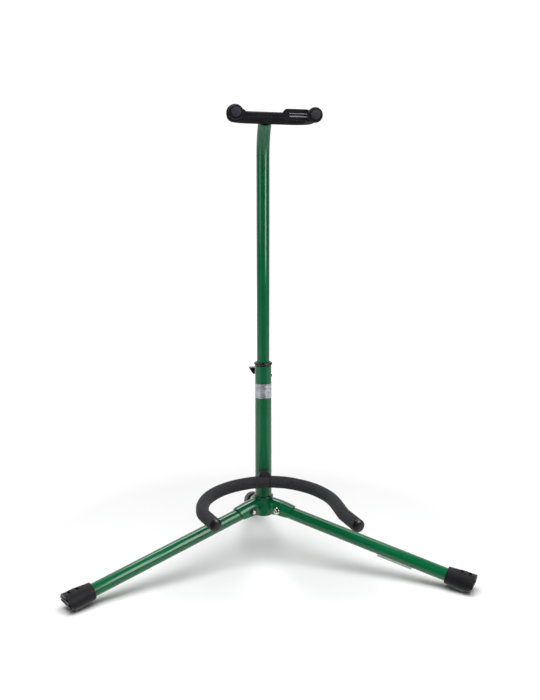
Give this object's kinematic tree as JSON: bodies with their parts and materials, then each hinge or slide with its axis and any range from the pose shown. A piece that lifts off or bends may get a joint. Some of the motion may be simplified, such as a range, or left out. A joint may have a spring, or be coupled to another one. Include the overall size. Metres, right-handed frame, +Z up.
{
  "type": "guitar stand",
  "caption": "Folding tubular guitar stand with a telescoping mast, hinged legs, a padded lower cradle and a padded neck fork closed by a rubber strap.",
  "frame": {"origin": "on the floor under the mast's axis, which is the middle of the stand's floor area", "axes": "+Z up along the mast; the front, with the cradle and the neck fork, faces -Y; +X is the viewer's right from the front"},
  "size_m": [0.5786, 0.4228, 0.669],
  "materials": {
    "green_paint": "satin-gloss dark green stoved paint on steel tube",
    "black_plastic": "moulded black plastic, soft sheen",
    "black_rubber": "moulded black rubber",
    "black_foam": "closed-cell foam tube, matte charcoal",
    "white_nylon": "natural nylon",
    "zinc_steel": "bright zinc-plated steel",
    "silver_foil": "blank silver foil label",
    "paper_label": "blank off-white paper label"
  },
  "bodies": {
    "base": {"lower_tube": "green_paint", "tube_bottom_plug": "black_plastic", "hub_sleeve": "green_paint", "label_band": "silver_foil", "collar_bush": "black_plastic", "collar_rivet": "zinc_steel", "clamp_nut": "green_paint", "cradle_bracket": "black_plastic", "cradle_screw": "zinc_steel", "cradle_rod": "zinc_steel", "cradle_foam_left": "black_foam", "cradle_foam_right": "black_foam", "cradle_end_cap_left": "black_plastic", "cradle_end_cap_right": "black_plastic", "leg_bracket_left": "green_paint", "leg_bolt_left": "zinc_steel", "leg_nut_left": "zinc_steel", "leg_bracket_right": "green_paint", "leg_bolt_right": "zinc_steel", "leg_nut_right": "zinc_steel", "leg_bracket_rear": "green_paint", "leg_bolt_rear": "zinc_steel", "leg_nut_rear": "zinc_steel"},
    "leg_left": {"leg_tube_left": "green_paint", "leg_insert_left": "black_plastic", "foot_cap_left": "black_rubber"},
    "leg_right": {"leg_tube_right": "green_paint", "leg_insert_right": "black_plastic", "foot_cap_right": "black_rubber", "leg_label": "paper_label"},
    "leg_rear": {"leg_tube_rear": "green_paint", "leg_insert_rear": "black_plastic", "foot_cap_rear": "black_rubber"},
    "clamp_stud": {"wing_stud": "zinc_steel"},
    "clamp_knob": {"wing_head": "black_plastic"},
    "height_glide": {"glide_ring": "white_nylon"},
    "upper_mast": {"upper_tube": "green_paint", "upper_tube_plug": "black_plastic", "yoke_core": "zinc_steel", "yoke_cover": "black_rubber", "yoke_end_left": "black_rubber", "yoke_end_right": "black_rubber"},
    "neck_strap": {"safety_strap": "black_rubber"}
  },
  "joints": [
    {"name": "leg_fold_left", "type": "hinge", "parent": "base", "child": "leg_left", "pos_m": [-0.02382, -0.01375, 0.0787], "axis": [0.5, -0.866, 0], "range_deg": [0, 77.3]},
    {"name": "leg_fold_right", "type": "hinge", "parent": "base", "child": "leg_right", "pos_m": [0.02382, -0.01375, 0.0787], "axis": [0.5, 0.866, 0], "range_deg": [0, 77.3]},
    {"name": "leg_fold_rear", "type": "hinge", "parent": "base", "child": "leg_rear", "pos_m": [0, 0.0275, 0.0787], "axis": [-1, 0, 0], "range_deg": [0, 69.25]},
    {"name": "height_slide", "type": "slide", "parent": "base", "child": "height_glide", "axis": [0, 0, 1], "range_m": [-0.04, 0.06]},
    {"name": "mast_swivel", "type": "hinge", "parent": "height_glide", "child": "upper_mast", "pos_m": [0, 0, 0.194], "axis": [0, 0, 1], "continuous": true},
    {"name": "clamp_travel", "type": "slide", "parent": "base", "child": "clamp_stud", "axis": [-0.0872, 0.9962, 0], "range_m": [0, 0.002]},
    {"name": "clamp_turn", "type": "hinge", "parent": "clamp_stud", "child": "clamp_knob", "pos_m": [-0.00231, 0.0264, 0.2875], "axis": [-0.0872, 0.9962, 0], "range_deg": [0, 721]},
    {"name": "strap_swing", "type": "hinge", "parent": "upper_mast", "child": "neck_strap", "pos_m": [-0.04447, -0.08102, 0.65756], "axis": [0.0443, -0.9985, 0.0331], "range_deg": [0, 180]}
  ],
  "couplings": [
    {"joint": "clamp_turn", "follows": "clamp_travel", "rad_per_m": 6283.2}
  ]
}
